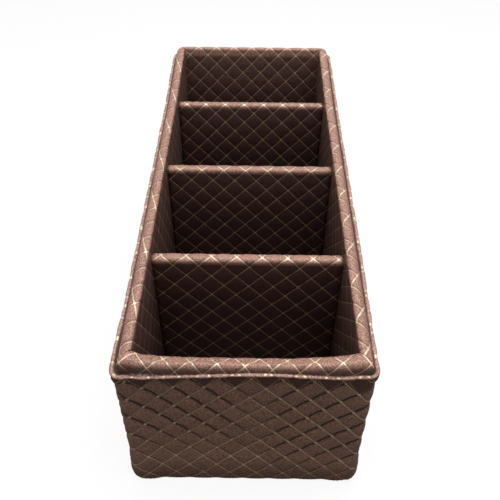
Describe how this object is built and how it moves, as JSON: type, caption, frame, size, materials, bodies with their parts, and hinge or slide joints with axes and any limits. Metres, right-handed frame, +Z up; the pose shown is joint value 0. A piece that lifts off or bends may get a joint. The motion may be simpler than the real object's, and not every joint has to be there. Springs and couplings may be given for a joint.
{
  "type": "remote control holder",
  "caption": "Long narrow desktop caddy in quilted bronze-brown leatherette, with padded dividers that make open pockets behind one another and a padded rim that climbs to the rear.",
  "frame": {"origin": "middle of the underside, on the surface that the holder stands on", "axes": "+Z up, +Y towards the high rear end, +X to the right seen from the low front"},
  "size_m": [0.1096, 0.2476, 0.1287],
  "materials": {
    "board": "plain fibreboard, hidden under the covering",
    "lining_leatherette": "bronze-brown leatherette with a fine pebble grain and thin pale gold creases in a diamond lattice",
    "cover_leatherette": "bronze-brown leatherette, foam backed, quilted in diamonds by thin pale gold welded creases",
    "base_cloth": "dark brown felted lining cloth under the base"
  },
  "bodies": {
    "root": {"base_board": "board", "left_board": "board", "right_board": "board", "front_board": "board", "rear_board": "board", "front_divider_board": "board", "middle_divider_board": "board", "rear_divider_board": "board", "left_lining": "lining_leatherette", "right_lining": "lining_leatherette", "front_lining": "lining_leatherette", "rear_lining": "lining_leatherette", "front_divider_cover": "lining_leatherette", "middle_divider_cover": "lining_leatherette", "rear_divider_cover": "lining_leatherette", "front_floor_lining": "lining_leatherette", "second_floor_lining": "lining_leatherette", "third_floor_lining": "lining_leatherette", "rear_floor_lining": "lining_leatherette", "outer_cover": "cover_leatherette", "base_cloth": "base_cloth"}
  },
  "joints": []
}
